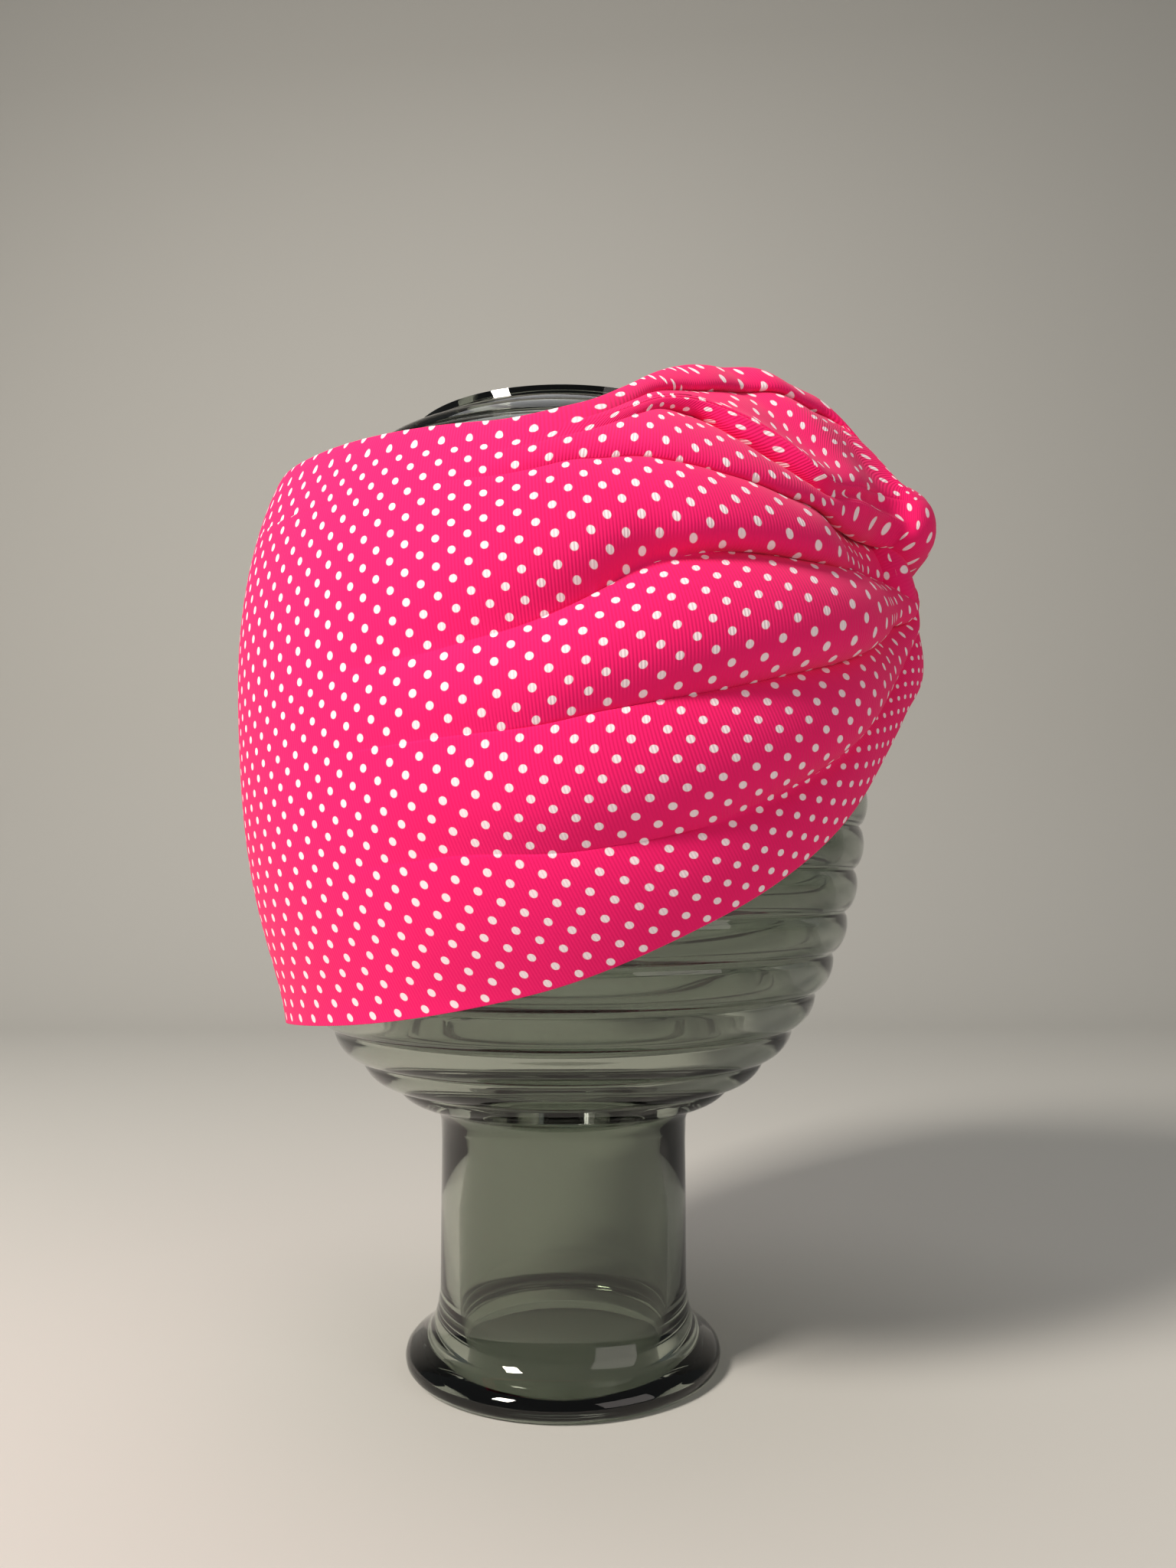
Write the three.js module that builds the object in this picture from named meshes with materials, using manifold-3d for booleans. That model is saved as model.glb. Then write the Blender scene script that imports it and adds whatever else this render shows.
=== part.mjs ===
// A wide twisted cloth headband, shown on an upturned ribbed glass vase that it fits like a head.
// Millimetres, +Z up. The twist faces -Y, the back seam +Y, and the vase stands on its mouth at z = 0.
import * as THREE from 'three';
import { mergeVertices } from 'three/addons/utils/BufferGeometryUtils.js';
import Module from 'manifold-3d';

// ---- driving dimensions ----

// The vase's axis stands behind the origin, so that the origin is under the middle of the whole object.
const AXIS_BEHIND = 9;

// Glass: a flat-based globe with stacked round ribs, a neck and a flared mouth that serves as the foot.
const GLASS = {
  equatorRadius: 88, equatorHeight: 180,
  lowerDepth: 115, lowerPower: 2.5,
  upperDepth: 90.5, upperPower: 2.6,
  shoulderHeight: 265, baseHeight: 266.5, baseRadius: 38,
  neckRadius: 35, neckTopHeight: 71,
  footRadius: 44.5, lipHeight: 5, mouthRadius: 30,
  wall: 4, ribs: 19, ribDepth: 2,
};
const GLASS_SEGMENTS = 28;
const POINTS_PER_RIB = 3;
const INNER_STEPS = 12;
const MERIDIAN_STEPS = 100;

// Cloth: wall thickness, and the clearance kept to the glass, at the seam and between the two wraps.
const CLOTH_WALL = 1.6;
const GLASS_CLEARANCE = 0.95;
const SEAM_CLEARANCE = 0.3;
const TWIST_CLEARANCE = 0.5;

// The top and low edges of one wrap, from the twist (share 0) to the back seam (share 1). Angles are
// degrees round from the front, heights and reaches (distance from the axis) are mm.
const TOP_EDGE = [
  { share: 0.00, angle: 7, height: 245, reach: 103 },
  { share: 0.07, angle: 13, height: 255.5, reach: 97 },
  { share: 0.18, angle: 28, height: 267, reach: 80 },
  { share: 0.28, angle: 46, height: 268.5, reach: 71 },
  { share: 0.39, angle: 64, height: 263, reach: 72 },
  { share: 0.47, angle: 78, height: 250, reach: 78 },
  { share: 0.65, angle: 110, height: 242, reach: 82 },
  { share: 0.80, angle: 140, height: 243, reach: 83 },
  { share: 1.00, angle: 180, height: 250, reach: 82 },
];
const LOW_EDGE = [
  { share: 0.00, angle: 5, height: 213, reach: 102 },
  { share: 0.07, angle: 7, height: 197, reach: 104 },
  { share: 0.20, angle: 17, height: 178, reach: 97 },
  { share: 0.30, angle: 28, height: 162, reach: 91 },
  { share: 0.40, angle: 45, height: 142, reach: 86 },
  { share: 0.50, angle: 65, height: 126, reach: 82 },
  { share: 0.65, angle: 95, height: 109, reach: 79 },
  { share: 0.80, angle: 130, height: 100, reach: 78 },
  { share: 1.00, angle: 180, height: 95, reach: 78 },
];

// How far the strip bows outwards between its edges, mm. It is fullest a little above the middle.
const BELLY = [
  { share: 0.00, bow: 0 },
  { share: 0.07, bow: 2 },
  { share: 0.18, bow: 7 },
  { share: 0.32, bow: 13 },
  { share: 1.00, bow: 12.5 },
];
const BELLY_LEAN = 0.7;
const BELLY_POWER = 1.2;

// Creases that run from the twist towards the back. Each sits at a row across the strip (0 top edge,
// 1 low edge) at each of the shares, sinks by depth mm, and dies out at the share fades.
const CREASE_SHARES = [0, 0.2, 0.35, 0.5, 0.65, 0.85];
const CREASES = [
  { name: 'rim crease', rows: [0.20, 0.10, 0.05, 0.02, 0.02, 0.02], depth: 2.5, fades: 0.55 },
  { name: 'lobe edge', rows: [0.50, 0.50, 0.35, 0.15, 0.15, 0.15], depth: 4.5, fades: 0.80 },
  { name: 'upper pleat', rows: [0.60, 0.60, 0.45, 0.35, 0.40, 0.45], depth: 4.0, fades: 0.85 },
  { name: 'middle pleat', rows: [0.75, 0.70, 0.65, 0.60, 0.55, 0.55], depth: 3.5, fades: 0.80 },
  { name: 'lower pleat', rows: [0.85, 0.80, 0.80, 0.85, 0.80, 0.80], depth: 3.0, fades: 0.62 },
];

// The rolls of cloth between the creases, top to bottom: how far each puffs out, and where it dies out.
const PUFFS = [
  { name: 'rim', height: 1.5, fades: 0.50 },
  { name: 'lobe', height: 7.0, fades: 0.46 },
  { name: 'under the lobe', height: 2.0, fades: 0.60 },
  { name: 'upper roll', height: 3.5, fades: 0.75 },
  { name: 'middle roll', height: 3.0, fades: 0.70 },
  { name: 'lower roll', height: 1.5, fades: 0.50 },
];
// A crease or roll fades over this part of its run. The relief is drawn together where the strip is
// gathered into the twist, up to the share GATHERED.
const FADE_RUN = 0.75;
const GATHERED = 0.10;
const GATHERED_START = -0.06;

// The strip's steps are shorter towards the twist.
const STRIP_STEPS = 26;
const STEP_GROWTH = 1.15;
const STEPS_PER_PUFF = 4;

// The hooked roll at the twist, from inside the wrap's own cloth, over the front and round to its tip.
// The right wrap's passes above the centre of the twist. The left wrap's is the same turned half round
// and set a little further back.
const TWIST_HEIGHT = 222.5;
const LEFT_HOOK_BACK = 4;
const HOOK = [
  { x: -27, y: -91, up: 17, radius: 8 },
  { x: -13, y: -96, up: 15, radius: 12 },
  { x: 0, y: -97.5, up: 12, radius: 11 },
  { x: 11, y: -97, up: 6, radius: 8.5 },
  { x: 14.5, y: -94, up: -3, radius: 7 },
  { x: 13, y: -90, up: -9, radius: 4.5 },
];
// The part of the hook, from its start, that the other wrap's tip is tucked behind.
const ROOT_STOPS = 3;
const STEPS_PER_STOP = 3;
const HOOK_SIDES = 12;

// Vertices nearer than this are one vertex of a solid.
const MERGE_DISTANCE = 1e-4;

const fabric = new THREE.MeshStandardMaterial({ color: 0xf0186a, roughness: 0.85, metalness: 0 });
const glass = new THREE.MeshStandardMaterial({
  color: 0x8a978c, roughness: 0.08, metalness: 0, transparent: true, opacity: 0.55,
});

// ---- shared helpers ----

// A smooth curve through the points (xs, ys), which never overshoots them.
function smoothThrough(xs, ys, x) {
  const last = xs.length - 1;
  const slopeOf = (i) => (ys[i + 1] - ys[i]) / (xs[i + 1] - xs[i]);
  const tangentOf = (i) => {
    if (i === 0) return slopeOf(0);
    if (i === last) return 0;
    const before = slopeOf(i - 1);
    const after = slopeOf(i);
    return before * after <= 0 ? 0 : (2 * before * after) / (before + after);
  };
  let i = 0;
  while (i < last - 1 && x > xs[i + 1]) i += 1;
  const span = xs[i + 1] - xs[i];
  const t = THREE.MathUtils.clamp((x - xs[i]) / span, 0, 1);
  const ease = t * t * (3 - 2 * t);
  return ys[i] * (1 - ease) + ys[i + 1] * ease
    + span * (tangentOf(i) * t * (1 - t) ** 2 - tangentOf(i + 1) * t * t * (1 - t));
}

// A table's named column at a share.
function smoothColumn(table, column, share) {
  return smoothThrough(table.map((row) => row.share), table.map((row) => row[column]), share);
}

// 1 near the twist, falling to 0 at the share end.
function fadeOut(share, end) {
  return THREE.MathUtils.smoothstep(end - share, 0, end * FADE_RUN);
}

function toSolid(wasm, geometry) {
  const bare = geometry.clone();
  bare.deleteAttribute('normal');
  bare.deleteAttribute('uv');
  const merged = mergeVertices(bare, MERGE_DISTANCE);
  return new wasm.Manifold(new wasm.Mesh({
    numProp: 3,
    vertProperties: new Float32Array(merged.attributes.position.array),
    triVerts: new Uint32Array(merged.index.array),
  }));
}

function toGeometry(solid) {
  const mesh = solid.getMesh();
  const geometry = new THREE.BufferGeometry();
  geometry.setAttribute('position', new THREE.BufferAttribute(new Float32Array(mesh.vertProperties), 3));
  geometry.setIndex(new THREE.BufferAttribute(new Uint32Array(mesh.triVerts), 1));
  return geometry;
}

function namedMesh(name, geometry, material) {
  const mesh = new THREE.Mesh(geometry, material);
  mesh.name = name;
  return mesh;
}

// ---- glass stand ----

// Outer radius of the globe at a height, over the crests of its ribs.
function globeRadius(height) {
  const below = height < GLASS.equatorHeight;
  const depth = below ? GLASS.lowerDepth : GLASS.upperDepth;
  const power = below ? GLASS.lowerPower : GLASS.upperPower;
  const t = Math.min(Math.abs(height - GLASS.equatorHeight) / depth, 1);
  return GLASS.equatorRadius * (1 - t ** power) ** (1 / power);
}

// The globe's meridian as points (radius, height), evenly spaced from neck to base, each moved
// inwards, square to the surface, by what inset gives for its number.
function globeOutline(count, inset) {
  const middle = (GLASS.shoulderHeight + GLASS.neckTopHeight) / 2;
  const half = (GLASS.shoulderHeight - GLASS.neckTopHeight) / 2;
  const line = [];
  for (let i = 0; i <= MERIDIAN_STEPS; i += 1) {
    const height = middle - half * Math.cos((Math.PI * i) / MERIDIAN_STEPS);
    line.push(new THREE.Vector3(globeRadius(height), height, 0));
  }
  const path = new THREE.CatmullRomCurve3(line);
  path.arcLengthDivisions = MERIDIAN_STEPS * 4;
  const outline = [];
  for (let i = 0; i <= count; i += 1) {
    const point = path.getPointAt(i / count);
    const along = path.getTangentAt(i / count);
    outline.push(new THREE.Vector2(point.x - along.y * inset(i), point.y + along.x * inset(i)));
  }
  return outline;
}

function glassProfile() {
  const grooved = (i) => (i % POINTS_PER_RIB === 0 ? GLASS.ribDepth : 0);
  const foot = [
    new THREE.Vector2(GLASS.mouthRadius, GLASS.neckTopHeight - 5),
    new THREE.Vector2(GLASS.mouthRadius, GLASS.lipHeight),
    new THREE.Vector2(GLASS.mouthRadius + 3, 0),
    new THREE.Vector2(GLASS.footRadius - 1.5, 0),
    new THREE.Vector2(GLASS.footRadius, 3.5),
    new THREE.Vector2(GLASS.footRadius - 2, 6.5),
    new THREE.Vector2(GLASS.neckRadius + 2, 11),
    new THREE.Vector2(GLASS.neckRadius, 20),
    new THREE.Vector2(GLASS.neckRadius, 45),
  ];
  return [
    new THREE.Vector2(0, GLASS.baseHeight - GLASS.wall - GLASS.ribDepth),
    ...globeOutline(INNER_STEPS, () => GLASS.wall + GLASS.ribDepth).reverse(),
    ...foot,
    ...globeOutline(GLASS.ribs * POINTS_PER_RIB, grooved),
    new THREE.Vector2(GLASS.baseRadius, GLASS.baseHeight),
    new THREE.Vector2(0, GLASS.baseHeight),
  ];
}

function turnedOnAxis(profile) {
  const geometry = new THREE.LatheGeometry(profile, GLASS_SEGMENTS);
  geometry.rotateX(Math.PI / 2);
  geometry.translate(0, AXIS_BEHIND, 0);
  return geometry;
}

// The globe as a plain solid, wider all round by the clearance that cloth keeps to it.
function globeWithClearance() {
  const outline = globeOutline(INNER_STEPS * 2, () => -GLASS_CLEARANCE);
  return turnedOnAxis([
    new THREE.Vector2(0, GLASS.neckTopHeight),
    ...outline,
    new THREE.Vector2(0, GLASS.baseHeight + GLASS_CLEARANCE),
  ]);
}

// ---- cloth wraps ----

// The rows of the creases at a share, with the strip's two edges at the ends.
function creaseRows(share) {
  const rows = CREASES.map((crease) => smoothThrough(CREASE_SHARES, crease.rows, share));
  return [0, ...rows, 1];
}

// Sinking of the creases and puffing of the rolls between them, where panel counts the rolls and t
// runs from 0 to 1 across one.
function relief(share, panel, t) {
  const sink = (crease) => (crease ? crease.depth * fadeOut(share, crease.fades) : 0);
  const above = sink(CREASES[panel - 1]) * (1 - t) ** 3;
  const below = sink(CREASES[panel]) * t ** 3;
  const puff = PUFFS[panel].height * fadeOut(share, PUFFS[panel].fades) * Math.sqrt(Math.sin(Math.PI * t));
  const gathered = THREE.MathUtils.smoothstep(share, GATHERED_START, GATHERED);
  return (puff - above - below) * gathered;
}

// A point of one wrap at a share round the strip and a place across it, which counts the rolls. Even
// steps of place crowd towards the creases. depth is 0 on the outer face, CLOTH_WALL on the inner one.
function wrapPoint(share, place, depth) {
  const panel = Math.min(Math.floor(place), PUFFS.length - 1);
  const t = (1 - Math.cos(Math.PI * (place - panel))) / 2;
  const rows = creaseRows(share);
  const row = rows[panel] + (rows[panel + 1] - rows[panel]) * t;
  const across = (column) => THREE.MathUtils.lerp(
    smoothColumn(TOP_EDGE, column, share),
    smoothColumn(LOW_EDGE, column, share),
    row,
  );
  const height = across('height');
  const bow = smoothColumn(BELLY, 'bow', share) * Math.sin(Math.PI * row ** BELLY_LEAN) ** BELLY_POWER;
  const clear = globeRadius(height) + GLASS_CLEARANCE + CLOTH_WALL;
  const free = across('reach') + bow + relief(share, panel, t);
  const reach = Math.max(free, clear) - depth;
  const seam = THREE.MathUtils.radToDeg(SEAM_CLEARANCE / reach);
  const angle = THREE.MathUtils.degToRad(Math.min(across('angle'), 180 - seam));
  return new THREE.Vector3(-reach * Math.sin(angle), AXIS_BEHIND - reach * Math.cos(angle), height);
}

// One wrap's wall: a thin box bent round the globe, its long side along the strip.
function wrapSheet() {
  const box = new THREE.BoxGeometry(1, 1, 1, STRIP_STEPS, PUFFS.length * STEPS_PER_PUFF, 1);
  const position = box.attributes.position;
  for (let i = 0; i < position.count; i += 1) {
    const share = (position.getX(i) + 0.5) ** STEP_GROWTH;
    const place = (0.5 - position.getY(i)) * PUFFS.length;
    const depth = position.getZ(i) > 0 ? CLOTH_WALL : 0;
    const point = wrapPoint(share, place, depth);
    position.setXYZ(i, point.x, point.y, point.z);
  }
  return box;
}

// The hooked roll: a closed cylinder bent along the hook's stops and swelling with them. extra widens
// it for cutting the clearance round it.
function hookRoll(stops, extra) {
  const path = new THREE.CatmullRomCurve3(
    stops.map((stop) => new THREE.Vector3(stop.x, AXIS_BEHIND + stop.y, TWIST_HEIGHT + stop.up)),
  );
  const spans = stops.length - 1;
  const roll = new THREE.CylinderGeometry(1, 1, 1, HOOK_SIDES, STEPS_PER_STOP * spans);
  const position = roll.attributes.position;
  for (let i = 0; i < position.count; i += 1) {
    const along = THREE.MathUtils.clamp(position.getY(i) + 0.5, 0, 1);
    const index = Math.min(Math.floor(along * spans), spans - 1);
    const radius = THREE.MathUtils.lerp(stops[index].radius, stops[index + 1].radius, along * spans - index);
    const centre = path.getPoint(along);
    const tangent = path.getTangent(along);
    const out = new THREE.Vector3(0, -1, 0).projectOnPlane(tangent).normalize();
    const side = new THREE.Vector3().crossVectors(tangent, out);
    const point = centre
      .addScaledVector(out, position.getZ(i) * (radius + extra))
      .addScaledVector(side, position.getX(i) * (radius + extra));
    position.setXYZ(i, point.x, point.y, point.z);
  }
  return roll;
}

// The left wrap's hook, or the part of it that the given stops make.
function leftHookRoll(stops, extra) {
  const roll = hookRoll(stops, extra);
  roll.translate(0, LEFT_HOOK_BACK, -TWIST_HEIGHT);
  roll.rotateY(Math.PI);
  roll.translate(0, 0, TWIST_HEIGHT);
  return roll;
}

function mirrored(geometry) {
  const copy = geometry.clone();
  copy.scale(-1, 1, 1);
  const index = copy.index.array;
  for (let i = 0; i < index.length; i += 3) {
    [index[i], index[i + 1]] = [index[i + 1], index[i]];
  }
  return copy;
}

const wasm = await Module();
wasm.setup();

// One wrap: its sheet makes way for the other wrap's whole hook, and its hook for the other's root
// and for the globe.
function wrap(sheet, hook, otherHook, otherRoot) {
  const cutSheet = toSolid(wasm, sheet).subtract(toSolid(wasm, otherHook));
  const inTheWay = toSolid(wasm, otherRoot).add(toSolid(wasm, globeWithClearance()));
  const cutHook = toSolid(wasm, hook).subtract(inTheWay);
  return toGeometry(cutSheet.add(cutHook));
}

const ROOT = HOOK.slice(0, ROOT_STOPS);
const rightWrap = wrap(
  wrapSheet(),
  hookRoll(HOOK, 0),
  leftHookRoll(HOOK, TWIST_CLEARANCE),
  leftHookRoll(ROOT, TWIST_CLEARANCE),
);
const leftWrap = wrap(
  mirrored(wrapSheet()),
  leftHookRoll(HOOK, 0),
  hookRoll(HOOK, TWIST_CLEARANCE),
  hookRoll(ROOT, TWIST_CLEARANCE),
);

const object = new THREE.Group();
object.add(namedMesh('glass_stand', turnedOnAxis(glassProfile()), glass));
object.add(namedMesh('right_wrap', rightWrap, fabric));
object.add(namedMesh('left_wrap', leftWrap, fabric));

export default object;
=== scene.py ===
import math

import bmesh
import bpy
import numpy as np
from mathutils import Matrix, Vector


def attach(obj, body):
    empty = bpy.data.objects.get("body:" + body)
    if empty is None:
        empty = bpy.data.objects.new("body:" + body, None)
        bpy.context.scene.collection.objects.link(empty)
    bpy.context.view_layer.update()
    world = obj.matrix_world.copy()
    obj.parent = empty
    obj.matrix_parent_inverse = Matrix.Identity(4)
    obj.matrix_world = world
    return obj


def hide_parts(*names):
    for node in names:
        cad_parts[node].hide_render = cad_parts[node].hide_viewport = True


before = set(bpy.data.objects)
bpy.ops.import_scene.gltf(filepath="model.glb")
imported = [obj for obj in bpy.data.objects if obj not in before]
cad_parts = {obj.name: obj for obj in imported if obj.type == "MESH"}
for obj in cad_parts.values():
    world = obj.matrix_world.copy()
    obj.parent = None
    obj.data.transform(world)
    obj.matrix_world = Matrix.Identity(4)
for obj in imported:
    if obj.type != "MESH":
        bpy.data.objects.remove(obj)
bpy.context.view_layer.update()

scene = bpy.context.scene


# ---------------------------------------------------------------- camera, floor and light
# A pale sweep of paper that runs from the table up behind the vase, as in a small product studio.
# It is lit by soft boxes, the largest of them at the front left.

CAMERA_PLACE = Vector((-0.348, 0.009, 0.135))
CAMERA_UP_TILT = 4.7
CAMERA_SIDE_TURN = 1.15
LENS = 27.05

camera_data = bpy.data.cameras.new("camera")
camera_data.sensor_fit = "VERTICAL"
camera_data.sensor_height = 36
camera_data.lens = LENS
camera_data.clip_start = 0.01
camera = bpy.data.objects.new("camera", camera_data)
scene.collection.objects.link(camera)
camera.location = CAMERA_PLACE
camera.rotation_euler = (math.radians(90 + CAMERA_UP_TILT), 0, math.radians(-90 - CAMERA_SIDE_TURN))
scene.camera = camera


def linear_colour(code):
    """An sRGB hex code as the linear colour that Blender works in."""
    parts = [int(code[i:i + 2], 16) / 255 for i in (1, 3, 5)]
    return [c / 12.92 if c <= 0.04045 else ((c + 0.055) / 1.055) ** 2.4 for c in parts] + [1.0]


def add_node(tree, kind, inputs=None, links=None, **settings):
    """A node with its settings, its input values by name or number, and its links from other sockets."""
    node = tree.nodes.new(kind)
    for name, value in settings.items():
        setattr(node, name, value)
    for name, value in (inputs or {}).items():
        node.inputs[name].default_value = value
    for name, socket in (links or {}).items():
        tree.links.new(socket, node.inputs[name])
    return node


def new_material(name):
    """A node material, its tree and its Principled shader, already joined to the output."""
    material = bpy.data.materials.new(name)
    material.use_nodes = True
    tree = material.node_tree
    tree.nodes.clear()
    shader = add_node(tree, "ShaderNodeBsdfPrincipled")
    add_node(tree, "ShaderNodeOutputMaterial", links={"Surface": shader.outputs["BSDF"]})
    return material, tree, shader


def mesh_object(name, bm, material):
    """The finished bmesh as an object at the origin, shaded smooth, with one material."""
    mesh = bpy.data.meshes.new(name)
    bm.to_mesh(mesh)
    bm.free()
    mesh.materials.append(material)
    mesh.polygons.foreach_set("use_smooth", [True] * len(mesh.polygons))
    piece = bpy.data.objects.new(name, mesh)
    scene.collection.objects.link(piece)
    return piece


FLOOR_COLOUR = "#C9C8C3"
SWEEP_HALF_WIDTH = 2.2
SWEEP_FRONT = -1.6
SWEEP_BACK = 0.75
SWEEP_CURVE = 0.35
SWEEP_STEPS = 12
SWEEP_TOP = 2.4

# Seamless background paper: uncoated, so it is matt, in a pale warm grey.
paper, tree, shader = new_material("matt_studio_paper")
shader.inputs["Base Color"].default_value = linear_colour(FLOOR_COLOUR)
shader.inputs["Roughness"].default_value = 0.9

bm = bmesh.new()
side = [bm.verts.new((x, -SWEEP_HALF_WIDTH, 0)) for x in (SWEEP_FRONT, SWEEP_BACK)]
for step in range(1, SWEEP_STEPS + 1):
    turn = math.radians(90 * step / SWEEP_STEPS)
    x = SWEEP_BACK + SWEEP_CURVE * math.sin(turn)
    z = SWEEP_CURVE * (1 - math.cos(turn))
    side.append(bm.verts.new((x, -SWEEP_HALF_WIDTH, z)))
side.append(bm.verts.new((SWEEP_BACK + SWEEP_CURVE, -SWEEP_HALF_WIDTH, SWEEP_TOP)))
edges = [bm.edges.new(pair) for pair in zip(side, side[1:])]
made = bmesh.ops.extrude_edge_only(bm, edges=edges)
moved = [v for v in made["geom"] if isinstance(v, bmesh.types.BMVert)]
bmesh.ops.translate(bm, verts=moved, vec=(0, 2 * SWEEP_HALF_WIDTH, 0))
floor = mesh_object("studio_floor", bm, paper)


def soft_box(name, place, target, size, power, colour):
    """A rectangular area light at a place, turned to face a target."""
    data = bpy.data.lights.new(name, "AREA")
    data.shape = "RECTANGLE"
    data.size, data.size_y = size
    data.energy = power
    data.color = linear_colour(colour)[:3]
    light = bpy.data.objects.new(name, data)
    light.location = place
    light.rotation_euler = (Vector(target) - Vector(place)).to_track_quat("-Z", "Y").to_euler()
    scene.collection.objects.link(light)


LIT_POINT = (0, 0.01, 0.18)
soft_box("key_light", (-0.65, 0.75, 0.9), LIT_POINT, (0.25, 0.3), 19, "#FFF6EC")
soft_box("fill_light", (-0.9, -0.9, 0.55), LIT_POINT, (0.9, 0.9), 3.8, "#FFF6F0")
soft_box("top_light", (0.1, 0.1, 1.3), LIT_POINT, (0.8, 0.8), 3, "#FFFFFF")

world = bpy.data.worlds.new("studio")
world.use_nodes = True
background = world.node_tree.nodes["Background"]
background.inputs["Color"].default_value = linear_colour("#C7CCCB")
background.inputs["Strength"].default_value = 0.22
scene.world = world
scene.view_settings.view_transform = "Standard"


# ---------------------------------------------------------------- glass stand
# An upturned vase of greenish grey pressed glass: a globe of stacked round ribs, a plain neck and a
# flared mouth that it stands on. One turned wall, open at the mouth.

MM = 0.001
# Sizes of the glass and the cloth are in mm, and become metres where a mesh is made. The globe's axis
# stands this far behind the middle of the frame.
AXIS_BEHIND = 9
EQUATOR_RADIUS = 88
EQUATOR_HEIGHT = 180
LOWER_DEPTH, LOWER_POWER = 115, 2.5
UPPER_DEPTH, UPPER_POWER = 90.5, 2.6
SHOULDER_HEIGHT = 265
BASE_HEIGHT, BASE_RADIUS = 266.5, 38
NECK_RADIUS, NECK_TOP = 35, 71
FOOT_RADIUS, MOUTH_RADIUS = 44.5, 30
GLASS_WALL = 4
RIBS = 19
RIB_DEPTH = 2
INNER_RIB_DEPTH = 0.7
# The smaller this power, the narrower the grooves between the ribs.
GROOVE_POWER = 0.6
RIB_POINTS = 12
SIDE_SAMPLES = 2001
GLASS_TURN_STEPS = 128


def globe_radius(height):
    """Outer radius of the globe over the crests of its ribs, in mm."""
    height = np.asarray(height, float)
    below = height < EQUATOR_HEIGHT
    depth = np.where(below, LOWER_DEPTH, UPPER_DEPTH)
    power = np.where(below, LOWER_POWER, UPPER_POWER)
    t = np.minimum(np.abs(height - EQUATOR_HEIGHT) / depth, 1)
    return EQUATOR_RADIUS * (1 - t ** power) ** (1 / power)


def globe_outline(count, inset):
    """Points (radius, height) evenly along the globe's side, moved in by what inset gives for each."""
    turns = np.linspace(0, math.pi, SIDE_SAMPLES)
    middle, half = (SHOULDER_HEIGHT + NECK_TOP) / 2, (SHOULDER_HEIGHT - NECK_TOP) / 2
    heights = middle - half * np.cos(turns)
    line = np.column_stack([globe_radius(heights), heights])
    along = np.concatenate([[0], np.cumsum(np.linalg.norm(np.diff(line, axis=0), axis=1))])
    at = np.linspace(0, along[-1], count + 1)
    points = np.column_stack([np.interp(at, along, line[:, 0]), np.interp(at, along, line[:, 1])])
    tangent = np.gradient(points, axis=0)
    tangent /= np.linalg.norm(tangent, axis=1)[:, None]
    inward = np.column_stack([-tangent[:, 1], tangent[:, 0]])
    amounts = np.array([inset(i) for i in range(count + 1)])
    return points + inward * amounts[:, None]


def rib_inset(i):
    """Depth below the crest at a point of the outline: round ribs with narrow grooves between them."""
    return RIB_DEPTH * (1 - abs(math.sin(math.pi * i / RIB_POINTS)) ** GROOVE_POWER)


def inner_inset(i):
    """The inner face follows the ribs weakly, as it does in pressed glass."""
    return GLASS_WALL + RIB_DEPTH - INNER_RIB_DEPTH * abs(math.sin(math.pi * i / RIB_POINTS))


ribbed = globe_outline(RIBS * RIB_POINTS, rib_inset)
inner = globe_outline(RIBS * RIB_POINTS, inner_inset)
foot = [
    (MOUTH_RADIUS, NECK_TOP - 5), (MOUTH_RADIUS, 45), (MOUTH_RADIUS, 20), (MOUTH_RADIUS, 9),
    (MOUTH_RADIUS + 0.4, 4), (MOUTH_RADIUS + 1.4, 1.3), (MOUTH_RADIUS + 3.2, 0.2), (MOUTH_RADIUS + 6, 0),
    (FOOT_RADIUS - 3, 0), (FOOT_RADIUS - 1.2, 0.5), (FOOT_RADIUS - 0.2, 1.8), (FOOT_RADIUS, 3.4),
    (FOOT_RADIUS - 0.5, 5.1), (FOOT_RADIUS - 2, 6.6), (FOOT_RADIUS - 4.5, 8.1), (FOOT_RADIUS - 6.6, 10),
    (NECK_RADIUS + 1.6, 12.5), (NECK_RADIUS + 0.6, 16), (NECK_RADIUS, 21), (NECK_RADIUS, 45),
    (NECK_RADIUS, 62), (NECK_RADIUS + 0.3, 68),
]
base_outer = [
    (BASE_RADIUS + 8, BASE_HEIGHT - 0.6), (BASE_RADIUS, BASE_HEIGHT), (BASE_RADIUS - 4, BASE_HEIGHT - 0.4),
    (BASE_RADIUS - 8, BASE_HEIGHT - 1.2), (0, BASE_HEIGHT - 1.2),
]
inner_top = BASE_HEIGHT - GLASS_WALL - RIB_DEPTH
profile = [(0, inner_top)] + inner[::-1].tolist() + foot + ribbed.tolist() + base_outer

bm = bmesh.new()
line = [bm.verts.new((radius * MM, 0, height * MM)) for radius, height in profile]
edges = [bm.edges.new(pair) for pair in zip(line, line[1:])]
bmesh.ops.spin(bm, geom=line + edges, cent=(0, 0, 0), axis=(0, 0, 1), dvec=(0, 0, 0),
               angle=2 * math.pi, steps=GLASS_TURN_STEPS, use_merge=True, use_duplicate=False)
bmesh.ops.remove_doubles(bm, verts=bm.verts, dist=1e-6)
bmesh.ops.translate(bm, verts=bm.verts, vec=(0, AXIS_BEHIND * MM, 0))
bmesh.ops.recalc_face_normals(bm, faces=bm.faces)

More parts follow.
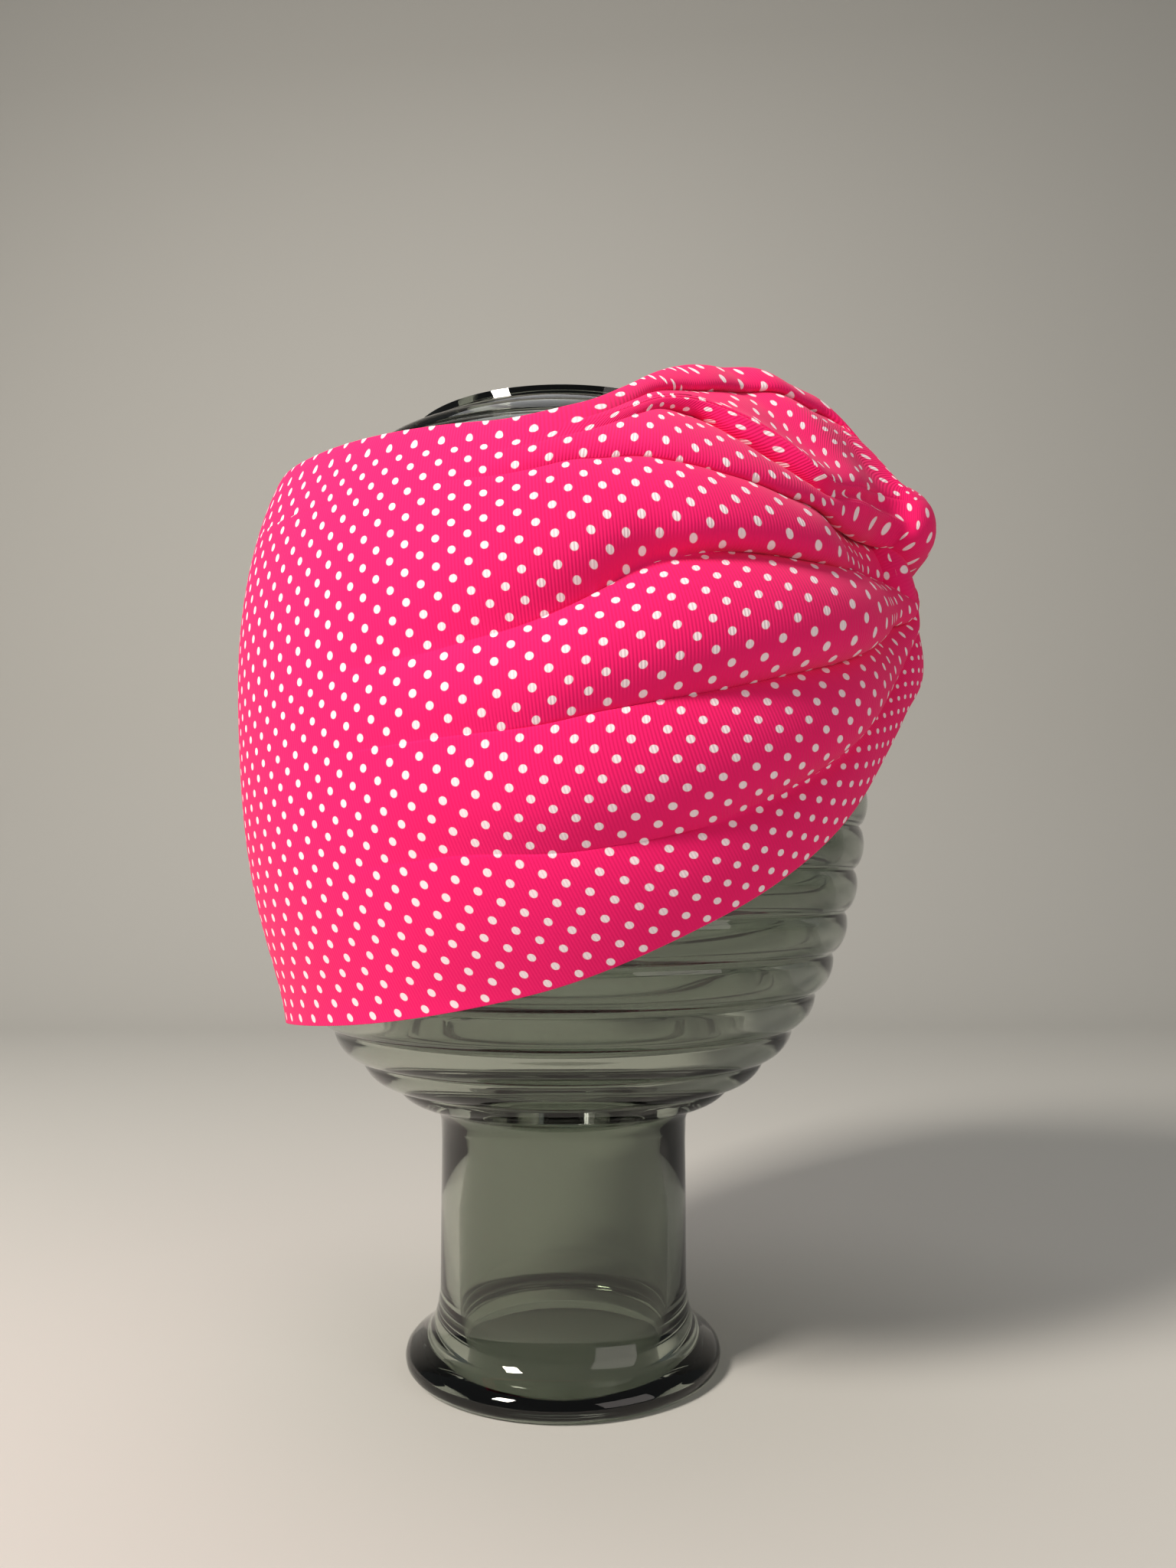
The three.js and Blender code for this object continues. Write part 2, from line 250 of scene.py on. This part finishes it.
# Soda-lime glass, pressed and fire polished: smooth and clear, tinted greenish grey through the wall.
green_glass, tree, shader = new_material("tinted_soda_lime_glass")
shader.inputs["Base Color"].default_value = linear_colour("#AFB6AA")
shader.inputs["Roughness"].default_value = 0.02
shader.inputs["IOR"].default_value = 1.52
shader.inputs["Transmission Weight"].default_value = 1.0
vase = mesh_object("pressed_glass_vase", bm, green_glass)
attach(vase, "root")
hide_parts("glass_stand")


# ---------------------------------------------------------------- cloth of the right wrap
# Half of a wide double strip of hot pink cotton jersey, printed with white pin dots. It comes from the
# back seam, is drawn into pleats towards the twist, and rolls over the front there.

TOP_EDGE = [
    # share round the strip, angle from the front, height and reach from the axis, mm
    (0.00, 7, 249, 103.5),
    (0.06, 10, 258, 96),
    (0.12, 14, 267.5, 85),
    (0.18, 19.5, 273, 73.5),
    (0.24, 25.5, 274.5, 67.5),
    (0.30, 32.5, 276.5, 62),
    (0.36, 42, 275, 55.5),
    (0.42, 57, 271, 55.5),
    (0.47, 68, 265, 59.5),
    (0.52, 77, 257.5, 66),
    (0.58, 88, 248, 76),
    (0.65, 103, 242, 82),
    (0.80, 138, 243, 83),
    (1.00, 180, 250, 82),
]
LOW_EDGE = [
    (0.00, 5, 213, 102),
    (0.07, 7, 197, 104),
    (0.20, 17, 179.5, 97),
    (0.30, 28, 163.5, 91),
    (0.40, 45, 144, 86),
    (0.50, 65, 127, 82),
    (0.65, 95, 109.5, 79),
    (0.80, 130, 100.5, 78),
    (1.00, 180, 95, 78),
]
ANGLE, HEIGHT, REACH = 1, 2, 3
BELLY = [
    # share, how far the strip bows out between its edges, how far its folds hold it off the glass, mm
    (0.0, 0, 0),
    (0.1, 3, 0),
    (0.2, 8, 2),
    (0.3, 13, 5),
    (0.4, 13, 6),
    (0.65, 12.5, 6),
    (0.8, 11, 1.5),
    (1.0, 11, 0),
]
BOW, HOLD_OFF = 1, 2
# The bow is fullest a little above the middle, by the lean, and flatter at the edges, by the power.
BELLY_LEAN, BELLY_POWER = 0.7, 1.2
GLASS_CLEARANCE = 0.95
CLOTH_WALL = 1.6
SEAM_CLEARANCE = 0.3
# Free cloth runs into cloth that is held off the glass softly, over about this length.
SOFT_MEETING = 4

# Creases from the top edge down. Each line: share round the strip, row across it (0 top, 1 low edge),
# the dot rows that meet there from above and below, how deep it sinks, how far the cloth above laps over
# it, and how wide it is above and below, mm. A ridge is a crease that stands up instead.
ROW, DOT_ROW_ABOVE, DOT_ROW_BELOW, DEPTH, LAP, WIDTH_ABOVE, WIDTH_BELOW = range(1, 8)
RIM_CREASE = [
    (0.0, 0.02, -10, -10, 0.5, 0.3, 1.5, 1.5),
    (0.1, 0.05, -10, -10, 0.5, 0.3, 1.5, 3),
    (0.2, 0.07, -10, -10, 2, 1, 1.5, 3.5),
    (0.4, 0.07, -9, -9, 2.5, 1, 1.5, 3.5),
    (0.5, 0.04, 0, 0, 0.8, 0, 1.5, 3),
    (0.6, 0.04, 2, 2, 0, 0, 2, 2),
    (1.0, 0.04, 2, 2, 0, 0, 2, 2),
]
LOBE_RIDGE = [
    (0.0, 0.30, -3, -3, -0.5, 0, 8, 8),
    (0.2, 0.33, -2, -2, -2.5, 0, 10, 10),
    (0.3, 0.33, -1.5, -1.5, -3, 0, 10, 8),
    (0.35, 0.31, -2, -2, -3, 0, 8, 5),
    (0.4, 0.17, -5, -5, -3, 0, 7, 5),
    (0.45, 0.09, -3.5, -3.5, -2, 0, 4, 4),
    (0.5, 0.06, 0.5, 0.5, -0.5, 0, 3, 3),
    (0.6, 0.05, 2.5, 2.5, 0, 0, 3, 3),
    (1.0, 0.05, 2.5, 2.5, 0, 0, 3, 3),
]
LOBE_VALLEY = [
    (0.0, 0.42, -0.5, -0.5, -1, 0, 5, 5),
    (0.2, 0.40, -0.5, -0.5, -3.5, 0, 7, 7),
    (0.3, 0.37, -0.5, -0.5, -2.5, 0, 6, 6),
    (0.35, 0.34, -1, -1, 1, 0, 3, 3),
    (0.4, 0.23, -1.5, -1.5, 5.5, 1, 4, 6),
    (0.45, 0.12, -1.5, -1.5, 3.5, 0.5, 4, 6),
    (0.5, 0.08, 1, 1, 1, 0, 3, 5),
    (0.6, 0.07, 3.5, 3.5, 0, 0, 3, 3),
    (1.0, 0.07, 3, 3, 0, 0, 3, 3),
]
LOBE_EDGE = [
    (0.0, 0.49, 1, 6.5, 5, 4, 2, 2),
    (0.1, 0.48, 1.5, 6, 6.5, 5, 2.5, 3),
    (0.2, 0.45, 1.5, 6, 7.5, 5.5, 2.5, 4),
    (0.3, 0.41, 1.5, 6, 7.5, 6, 2.5, 6),
    (0.35, 0.37, 2, 6, 5.5, 4.5, 2.5, 6),
    (0.4, 0.34, 3.5, 5.5, 3, 2, 2.5, 4),
    (0.45, 0.28, 4.5, 5.5, 1.5, 1, 2.5, 4),
    (0.5, 0.21, 5, 5.5, 1.2, 0.6, 2.5, 4),
    (0.55, 0.15, 5, 5.5, 1, 0.4, 2.5, 4),
    (0.6, 0.12, 5.5, 5.5, 0.8, 0.2, 3, 4),
    (0.7, 0.12, 5.5, 5.5, 0, 0, 4, 4),
    (1.0, 0.12, 4.5, 4.5, 0, 0, 4, 4),
]
UPPER_PLEAT = [
    (0.0, 0.68, 11, 20, 2, 1.5, 1.5, 2),
    (0.1, 0.64, 10, 20, 4, 2.5, 2, 5),
    (0.2, 0.58, 10, 18.5, 5, 3, 2.5, 6),
    (0.3, 0.53, 10, 18.5, 5.5, 3, 2.5, 7),
    (0.4, 0.46, 10.5, 16, 6.5, 3.5, 3, 9),
    (0.5, 0.38, 12, 13.5, 7, 2, 4, 12),
    (0.55, 0.36, 13, 13.5, 6.5, 0, 7, 13),
    (0.6, 0.38, 15.5, 15.5, 5, 0, 9, 13),
    (0.65, 0.40, 17, 17, 3.5, 0, 10, 12),
    (0.7, 0.42, 17.5, 17.5, 2, 0, 10, 12),
    (0.8, 0.43, 17, 17, 0, 0, 8, 8),
    (1.0, 0.44, 17, 17, 0, 0, 6, 6),
]
MIDDLE_PLEAT = [
    (0.0, 0.74, 24, 26.5, 2, 1.5, 1.5, 2),
    (0.1, 0.76, 24, 26, 4, 2.5, 2, 4),
    (0.2, 0.74, 24, 25.5, 5, 2.5, 2.5, 6),
    (0.3, 0.71, 24, 25, 5, 2.5, 3, 8),
    (0.4, 0.67, 24, 24.5, 5, 1.5, 4, 9),
    (0.5, 0.62, 24, 24, 4, 0.5, 6, 11),
    (0.6, 0.57, 23.5, 23.5, 2.5, 0, 8, 12),
    (0.7, 0.56, 23, 23, 1, 0, 9, 12),
    (0.8, 0.56, 22.5, 22.5, 0, 0, 8, 8),
    (1.0, 0.55, 22, 22, 0, 0, 6, 6),
]
LOWER_PLEAT = [
    (0.0, 0.82, 29, 34, 2, 1, 1.5, 2),
    (0.1, 0.84, 29, 34, 3, 2, 2, 3),
    (0.2, 0.89, 30, 34, 3.5, 2, 2.5, 3),
    (0.3, 0.88, 31, 34, 4, 2, 3, 4),
    (0.4, 0.86, 32.5, 34, 4, 1.5, 4, 5),
    (0.5, 0.84, 33.5, 33.5, 3.5, 0.5, 7, 6),
    (0.6, 0.79, 32.5, 32.5, 2.5, 0, 10, 9),
    (0.7, 0.75, 30.5, 30.5, 1, 0, 10, 9),
    (0.8, 0.75, 30.5, 30.5, 0, 0, 8, 8),
    (1.0, 0.75, 30.5, 30.5, 0, 0, 6, 6),
]
CREASES = [RIM_CREASE, LOBE_RIDGE, LOBE_VALLEY, LOBE_EDGE, UPPER_PLEAT, MIDDLE_PLEAT, LOWER_PLEAT]
ROLL_COUNT = len(CREASES) + 1
# The last roll above the lobe's edge.
LAST_LOBE_ROLL = 3

# A crease dies away from its bottom by these powers of the distance, above and below it, a ridge by its
# own. It takes at most these parts of the roll that it lies in, and a little more, mm.
POWER_ABOVE, POWER_BELOW, RIDGE_POWER = 1.5, 1, 2
MOST_ABOVE, MOST_BELOW, LEAST_CREASE = 0.25, 0.35, 0.2
LEAST_ROLL_WIDTH = 0.5
# A roll's puff rises from its creases by this power of a sine: the smaller, the fuller the roll.
PUFF_POWER = 0.5
# How strongly the cloth above laps over a crease, and over which part of its roll, and a little more, mm.
LAP_GAIN, LAP_PART, LEAST_LAP = 1.6, 0.5, 0.1

# Shares below 0 lie on the hook that the strip's front end is rolled into.
HOOK_START = -0.35

# The dot rows at the two edges, and the dot columns across the strip, in half steps of the print.
TOP_DOT_ROW = [(0.0, -12), (0.4, -11.5), (0.45, -7), (0.5, -1.5), (0.55, -0.5), (0.6, 1), (1.0, 1)]
LOW_DOT_ROW = 40.5
DOT_COLUMNS = [
    # share, and the column at the top edge, the lobe's ridge, the lobe's edge, the middle, the low edge
    (HOOK_START, -50, -50, -50, -50, -50),
    (0.0, -31, -33, -33, -37, -38),
    (0.1, -25, -29, -29, -33, -32),
    (0.2, -21, -26, -26, -28, -26),
    (0.3, -18, -23, -23, -22, -20),
    (0.4, -12, -12, -16, -16, -13),
    (0.5, -4.5, -5, -8, -8.5, -4),
    (0.6, 0, 0, -0.5, -0.5, 4),
    (0.7, 9, 9, 9, 9, 12.5),
    (0.8, 19.5, 19.5, 19.5, 19, 21),
    (1.0, 36, 36, 36, 36, 37),
]

# Below the lobe the columns go over from the middle's to the low edge's from this row on, slowly at first.
MIDDLE_ROW = 0.62
COLUMN_POWER = 1.5

# The rolls between the creases: at each share, how far each puffs out, mm.
ROLLS = [
    # share, rim, top of the lobe, its flank, under the valley, under the lobe, upper, middle, lower roll
    (0.0, 0.5, 1, 0.5, 0.3, 0.5, 1.5, 1.5, 0.5),
    (0.1, 1, 1.5, 0.5, 0.5, -2.5, 2.5, 2, 1),
    (0.3, 1.5, 2, 0.5, 0.5, -3, 3.5, 2.5, 1),
    (0.4, 1.5, 2, 1, 1.5, 1, 3.5, 2.5, 1),
    (0.5, 0.5, 0.5, 0.3, 1.5, 1.5, 3, 2, 0.5),
    (0.6, 0, 0, 0, 0.3, 1, 1.5, 1, 0.3),
    (0.7, 0, 0, 0, 0, 0, 0, 0, 0),
    (1.0, 0, 0, 0, 0, 0, 0, 0, 0),
]

# The print repeats in these steps along and across, with a second dot in the middle of each cell.
DOT_ALONG, DOT_ACROSS, DOT_RADIUS = 8.2, 7.2, 1.0

TWIST_HEIGHT = 222.5
LEFT_HOOK_BACK = 4
HOOK_PATH = [
    # x, y from the axis (the front is minus), height above the middle of the twist, radius, mm
    (-27, -91, 17, 8),
    (-13, -96, 15, 12),
    (0, -97.5, 12, 11),
    (11, -97, 6, 8.5),
    (14.5, -94, -3, 7),
    (13, -90, -9, 4.5),
]

# How far along the hook each share lies, and how its very end is drawn in.
HOOK_ALONG = [(HOOK_START, 1), (0, 0.2), (0.12, 0)]
HOOK_TIP = [(HOOK_START, 0.1), (-0.33, 1)]

# How the strip's rolls, counted from the top edge, are wound into the hook: their turn from the front in
# degrees (down is 90), how much of the hook's radius they lie at, and up to which share they are hook.
RIGHT_WINDING = {
    "turn": [(0, -175), (4, 120), (4.6, 150), (ROLL_COUNT, 185)],
    "radius": [(0, 1), (3.9, 1), (4.3, 0.8), (ROLL_COUNT, 0.4)],
    "until": [(0, 0.16), (4, 0.16), (4.5, 0.02), (ROLL_COUNT, 0)],
}
LEFT_WINDING = {
    "turn": [(0, -185), (5, -150), (5.6, -120), (ROLL_COUNT, 175)],
    "radius": [(0, 0.4), (5.2, 0.8), (5.6, 1), (ROLL_COUNT, 1)],
    "until": [(0, 0), (5, 0.02), (5.5, 0.2), (ROLL_COUNT, 0.2)],
}
# The change from hook to strip starts at this part of that share, and takes this much more on each side.
JOIN_START, JOIN_MARGIN = 0.2, 0.02

STEPS_ROUND = 230
STEPS_ON_HOOK = 49
STEPS_PER_ROLL = 22
# The steps along the strip are shorter towards the twist.
STEP_GROWTH = 1.15


def smooth_through(xs, ys, x):
    """A smooth curve through the points (xs, ys), which never overshoots them."""
    xs, ys, x = np.array(xs, float), np.array(ys, float), np.asarray(x, float)
    slope = np.diff(ys) / np.diff(xs)
    tangent = np.zeros(len(xs))
    tangent[0] = slope[0]
    product = slope[:-1] * slope[1:]
    total = np.where(product > 0, slope[:-1] + slope[1:], 1)
    tangent[1:-1] = np.where(product > 0, 2 * product / total, 0)
    i = np.clip(np.searchsorted(xs, x, side="right") - 1, 0, len(xs) - 2)
    span = xs[i + 1] - xs[i]
    t = np.clip((x - xs[i]) / span, 0, 1)
    ease = t * t * (3 - 2 * t)
    bend = tangent[i] * t * (1 - t) ** 2 - tangent[i + 1] * t * t * (1 - t)
    return ys[i] * (1 - ease) + ys[i + 1] * ease + span * bend


def column(table, number, share):
    """A table's column at a share, smoothed between its lines."""
    return smooth_through([line[0] for line in table], [line[number] for line in table], share)


def smooth_step(x, low, high):
    """0 below low and 1 above high, with a soft change between them."""
    t = np.clip((x - low) / (high - low), 0, 1)
    return t * t * (3 - 2 * t)


def straight_through(pairs, x):
    """Straight lines through a table of pairs."""
    return np.interp(x, [pair[0] for pair in pairs], [pair[1] for pair in pairs])


def base_place(share, row, out):
    """A point of the strip at a share and a row, out mm further from the axis than its plain shape."""

    def across(number):
        """An edge column between the two edges."""
        return column(TOP_EDGE, number, share) * (1 - row) + column(LOW_EDGE, number, share) * row

    height = across(HEIGHT)
    inside = np.clip(row, 0, 1)
    bow = column(BELLY, BOW, share) * np.sin(math.pi * inside ** BELLY_LEAN) ** BELLY_POWER
    on_glass = globe_radius(height) + GLASS_CLEARANCE + CLOTH_WALL
    held_off = on_glass + column(BELLY, HOLD_OFF, share) * np.sin(math.pi * inside)
    apart = across(REACH) + bow - held_off
    free = held_off + (apart + np.sqrt(apart ** 2 + SOFT_MEETING ** 2)) / 2
    reach = np.maximum(free + out, on_glass)
    turn = np.radians(np.minimum(across(ANGLE), 180 - np.degrees(SEAM_CLEARANCE / reach)))
    return np.stack([-reach * np.sin(turn), AXIS_BEHIND - reach * np.cos(turn), height], axis=-1)


def beside_roll(number, roll, share, at_top, at_low):
    """A crease column for each roll: at the crease, or the edge, above the roll and at the one below it."""
    values = [at_top] + [column(crease, number, share) for crease in CREASES] + [at_low]
    return np.choose(roll, values[:-1]), np.choose(roll, values[1:])


def strip_places(share, roll, t):
    """Places of the pleated strip and the row of each, where t runs from 0 to 1 across a roll."""
    zero = np.zeros_like(share)
    top_row, low_row = beside_roll(ROW, roll, share, zero, zero + 1)
    row = top_row * (1 - t) + low_row * t
    strip_width = np.linalg.norm(base_place(share, zero, 0) - base_place(share, zero + 1, 0), axis=-1)
    roll_width = np.maximum((low_row - top_row) * strip_width, LEAST_ROLL_WIDTH)
    from_top = t * roll_width
    from_low = (1 - t) * roll_width

    top_depth, low_depth = beside_roll(DEPTH, roll, share, zero, zero)
    low_lap = beside_roll(LAP, roll, share, zero, zero)[1]
    above_wide = beside_roll(WIDTH_ABOVE, roll, share, zero + 1, zero + 1)[1]
    above_wide = np.minimum(above_wide, MOST_ABOVE * roll_width + LEAST_CREASE)
    below_wide = beside_roll(WIDTH_BELOW, roll, share, zero + 1, zero + 1)[0]
    below_wide = np.minimum(below_wide, MOST_BELOW * roll_width + LEAST_CREASE)

    puff = np.choose(roll, [column(ROLLS, number + 1, share) for number in range(ROLL_COUNT)])
    relief = puff * np.sin(math.pi * t).clip(0) ** PUFF_POWER
    top_power = np.where(top_depth < 0, RIDGE_POWER, POWER_BELOW)
    low_power = np.where(low_depth < 0, RIDGE_POWER, POWER_ABOVE)
    relief -= top_depth * np.exp(-(from_top / below_wide) ** top_power)
    relief -= low_depth * np.exp(-(from_low / above_wide) ** low_power)
    nose = from_low / above_wide
    fading = np.exp(-(from_low / (LAP_PART * roll_width + LEAST_LAP)) ** 2)
    lap = low_lap * LAP_GAIN * nose / (1 + nose ** 2) * fading
    return base_place(share, row + lap / strip_width, relief), row


def hook_place(along, turn, shrink):
    """A point on the rolled hook: along from 0 to 1, turn in degrees from the front, down being 90."""
    stops = np.array(HOOK_PATH, float)
    spans = len(stops) - 1
    padded = np.vstack([2 * stops[0] - stops[1], stops, 2 * stops[-1] - stops[-2]])
    at = np.clip(along, 0, 1) * spans
    i = np.minimum(at.astype(int), spans - 1)
    t = (at - i)[..., None]
    a, b, c, d = padded[i], padded[i + 1], padded[i + 2], padded[i + 3]
    bend = 2 * a - 5 * b + 4 * c - d
    sway = 3 * b - a - 3 * c + d
    place = 0.5 * (2 * b + (c - a) * t + bend * t ** 2 + sway * t ** 3)
    tangent = 0.5 * ((c - a) + 2 * bend * t + 3 * sway * t ** 2)
    radius = place[..., 3] * shrink
    centre = place[..., :3] + np.array([0, AXIS_BEHIND, TWIST_HEIGHT])
    tangent = tangent[..., :3] / np.linalg.norm(tangent[..., :3], axis=-1, keepdims=True)
    front = np.zeros_like(tangent)
    front[..., 1] = -1
    front -= (front * tangent).sum(-1, keepdims=True) * tangent
    front /= np.linalg.norm(front, axis=-1, keepdims=True)
    down = np.cross(tangent, front)
    turn = np.radians(turn)[..., None]
    return centre + radius[..., None] * (np.cos(turn) * front + np.sin(turn) * down)


def hook_places(share, place_line, is_right):
    """Places of the wrap's hook, and how much each counts against the strip's place."""
    winding = RIGHT_WINDING if is_right else LEFT_WINDING
    turn, radius, until = (
        np.broadcast_to(straight_through(winding[word], place_line), share.shape)
        for word in ("turn", "radius", "until")
    )
    hook = hook_place(column(HOOK_ALONG, 1, share), turn, radius * straight_through(HOOK_TIP, share))
    if not is_right:
        hook[..., 0] *= -1
        hook[..., 1] += LEFT_HOOK_BACK
        hook[..., 2] = 2 * TWIST_HEIGHT - hook[..., 2]
    weight = 1 - smooth_step(share, until * JOIN_START - JOIN_MARGIN, until + JOIN_MARGIN)
    return hook, weight[..., None]


def dot_places(points, share, row, roll):
    """Pattern places in mm. Across, they follow the cloth's own length between the dot rows that meet at
    the creases. Along, they run between the columns at the edges, the lobe's ridge and edge and the middle.
    """
    on_strip = np.maximum(share, 0)
    zero = np.zeros_like(share)
    step = np.linalg.norm(np.diff(points, axis=1), axis=2)
    length = np.concatenate([np.zeros((len(points), 1)), np.cumsum(step, axis=1)], axis=1)
    starts = length[:, ::STEPS_PER_ROLL]
    start = np.take_along_axis(starts, roll, 1)
    end = np.take_along_axis(starts, roll + 1, 1)
    part = np.clip((length - start) / np.maximum(end - start, 1e-6), 0, 1)
    first = column(TOP_DOT_ROW, 1, on_strip)
    from_row = beside_roll(DOT_ROW_BELOW, roll, on_strip, first, first)[0]
    to_row = beside_roll(DOT_ROW_ABOVE, roll, on_strip, zero, zero + LOW_DOT_ROW)[1]
    v = (from_row + (to_row - from_row) * part) * DOT_ACROSS / 2

    top, ridge, edge, middle, low = (column(DOT_COLUMNS, number, share) for number in range(1, 6))
    over_lobe = smooth_step(roll + part, 1, 2)
    down_flank = np.clip((roll + part - 2) / 2, 0, 1)
    on_lobe = top + (ridge - top) * over_lobe + (edge - ridge) * down_flank
    to_low = np.clip((row - MIDDLE_ROW) / (1 - MIDDLE_ROW), 0, 1) ** COLUMN_POWER
    u = np.where(roll > LAST_LOBE_ROLL, middle + (low - middle) * to_low, on_lobe)
    return (u + 1) * DOT_ALONG / 2, v


def wrap_grid(is_right):
    """Places of one wrap on a grid of shares by places across, and its pattern's places along and across."""
    on_hook = np.linspace(HOOK_START, 0, STEPS_ON_HOOK + 1)[:-1]
    on_strip = np.linspace(0, 1, STEPS_ROUND - STEPS_ON_HOOK + 1) ** STEP_GROWTH
    share_line = np.concatenate([on_hook, on_strip])
    fraction = (1 - np.cos(np.pi * np.linspace(0, 1, STEPS_PER_ROLL + 1))) / 2
    place_line = np.concatenate([[0.0]] + [number + fraction[1:] for number in range(ROLL_COUNT)])
    roll_line = np.concatenate([[0], np.repeat(np.arange(ROLL_COUNT), STEPS_PER_ROLL)])
    share, place = np.meshgrid(share_line, place_line, indexing="ij")
    roll = np.broadcast_to(roll_line, share.shape)

    points, row = strip_places(np.maximum(share, 0), roll, place - roll)
    if not is_right:
        points[..., 0] *= -1
    hook, weight = hook_places(share, place_line, is_right)
    points = points * (1 - weight) + hook * weight
    along, across = dot_places(points, share, row, roll)
    return points, along, across


def wrap_mesh(points, u, v):
    """The grid as a bmesh with a UV map in mm."""
    count_s, count_p = u.shape
    bm = bmesh.new()
    layer = bm.loops.layers.uv.new("cloth_mm")
    bmesh.ops.create_grid(bm, x_segments=count_s - 1, y_segments=count_p - 1, size=0.5)
    numbers = {}
    for vert in bm.verts:
        i = round((vert.co.x + 0.5) * (count_s - 1))
        j = round((vert.co.y + 0.5) * (count_p - 1))
        numbers[vert.index] = (i, j)
    for vert in bm.verts:
        i, j = numbers[vert.index]
        vert.co = points[i, j] * MM
    for face in bm.faces:
        for loop in face.loops:
            i, j = numbers[loop.vert.index]
            loop[layer].uv = (u[i, j], v[i, j])
    return bm


# Cotton jersey, printed with white pin dots: matt, with fine ribs across the strip and a soft nap.
# The ribs of light jersey stand about 0.7 to 0.9 mm apart.
RIB_PITCH = 0.85
DOT_SOFT_EDGE = 0.12

jersey, tree, shader = new_material("printed_cotton_jersey")
uv = add_node(tree, "ShaderNodeUVMap", uv_map="cloth_mm")
parts = add_node(tree, "ShaderNodeSeparateXYZ", links={0: uv.outputs["UV"]})


def to_cell(socket, pitch, shift):
    """Distance from the middle of the nearest cell of that pitch, in mm."""
    scaled = add_node(tree, "ShaderNodeMath", {1: 1 / pitch}, {0: socket}, operation="MULTIPLY")
    moved = add_node(tree, "ShaderNodeMath", {1: shift}, {0: scaled.outputs[0]}, operation="ADD")
    part = add_node(tree, "ShaderNodeMath", {}, {0: moved.outputs[0]}, operation="FRACT")
    middle = add_node(tree, "ShaderNodeMath", {1: -0.5}, {0: part.outputs[0]}, operation="ADD")
    distance = add_node(tree, "ShaderNodeMath", {1: pitch}, {0: middle.outputs[0]}, operation="MULTIPLY")
    return distance.outputs[0]


distances = []
for shift in (0.5, 0.0):
    x = to_cell(parts.outputs[0], DOT_ALONG, shift)
    y = to_cell(parts.outputs[1], DOT_ACROSS, shift)
    pair = add_node(tree, "ShaderNodeCombineXYZ", links={0: x, 1: y})
    distances.append(add_node(tree, "ShaderNodeVectorMath", links={0: pair.outputs[0]}, operation="LENGTH"))
nearest = add_node(tree, "ShaderNodeMath", operation="MINIMUM",
                   links={0: distances[0].outputs["Value"], 1: distances[1].outputs["Value"]})
dot_edge = {
    "From Min": DOT_RADIUS - DOT_SOFT_EDGE, "From Max": DOT_RADIUS + DOT_SOFT_EDGE,
    "To Min": 1.0, "To Max": 0.0,
}
dot = add_node(tree, "ShaderNodeMapRange", dot_edge, {"Value": nearest.outputs[0]},
               interpolation_type="SMOOTHSTEP")
place = add_node(tree, "ShaderNodeTexCoord")
patches = add_node(tree, "ShaderNodeTexNoise", {"Scale": 30.0, "Detail": 3.0},
                   {"Vector": place.outputs["Object"]})
pinks = add_node(tree, "ShaderNodeMix", {6: linear_colour("#EE0E66"), 7: linear_colour("#FA1472")},
                 {0: patches.outputs["Fac"]}, data_type="RGBA")
colour = add_node(tree, "ShaderNodeMix", {7: linear_colour("#F9E4EC")},
                  {0: dot.outputs[0], 6: pinks.outputs[2]}, data_type="RGBA")
tree.links.new(colour.outputs[2], shader.inputs["Base Color"])
shader.inputs["Roughness"].default_value = 0.85
shader.inputs["Specular IOR Level"].default_value = 0.25
shader.inputs["Sheen Weight"].default_value = 0.08
shader.inputs["Sheen Roughness"].default_value = 0.5
ribs = add_node(tree, "ShaderNodeMath", {1: 2 * math.pi / RIB_PITCH}, {0: parts.outputs[0]},
                operation="MULTIPLY")
rib_wave = add_node(tree, "ShaderNodeMath", links={0: ribs.outputs[0]}, operation="SINE")
rib_bump = add_node(tree, "ShaderNodeBump", {"Strength": 0.4, "Distance": 0.0001},
                    {"Height": rib_wave.outputs[0]})
tree.links.new(rib_bump.outputs[0], shader.inputs["Normal"])

# The wall grows inwards from the outer face, and leaves part of its room to the glass.
WALL_SHOWN = 1.2 * MM


def make_wrap(name, is_right):
    """One wrap as a sheet with its wall, riding with the stand."""
    points, u, v = wrap_grid(is_right)
    bm = wrap_mesh(points, u, v)
    bm.normal_update()

    # A face far round the side and half way across tells whether the faces point away from the glass.
    probe = Vector(points[len(points) * 3 // 4, points.shape[1] // 2] * MM)
    nearest_face = min(bm.faces, key=lambda face: (face.calc_center_median() - probe).length)
    if nearest_face.normal.dot(Vector((probe.x, probe.y - AXIS_BEHIND * MM, 0))) < 0:
        bmesh.ops.reverse_faces(bm, faces=bm.faces)
    piece = mesh_object(name, bm, jersey)
    wall = piece.modifiers.new("wall", "SOLIDIFY")
    wall.thickness = WALL_SHOWN
    wall.offset = -1
    wall.use_rim = True
    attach(piece, "root")
    return piece


# Laid flat, a wrap is about 75 half columns of dots long and 41 half rows wide.
right_wrap = make_wrap("right_wrap_cloth", True)
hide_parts("right_wrap")


# ---------------------------------------------------------------- cloth of the left wrap
# The other half of the strip, the mirror of the first, whose roll is the same turned half round.

left_wrap = make_wrap("left_wrap_cloth", False)
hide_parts("left_wrap")
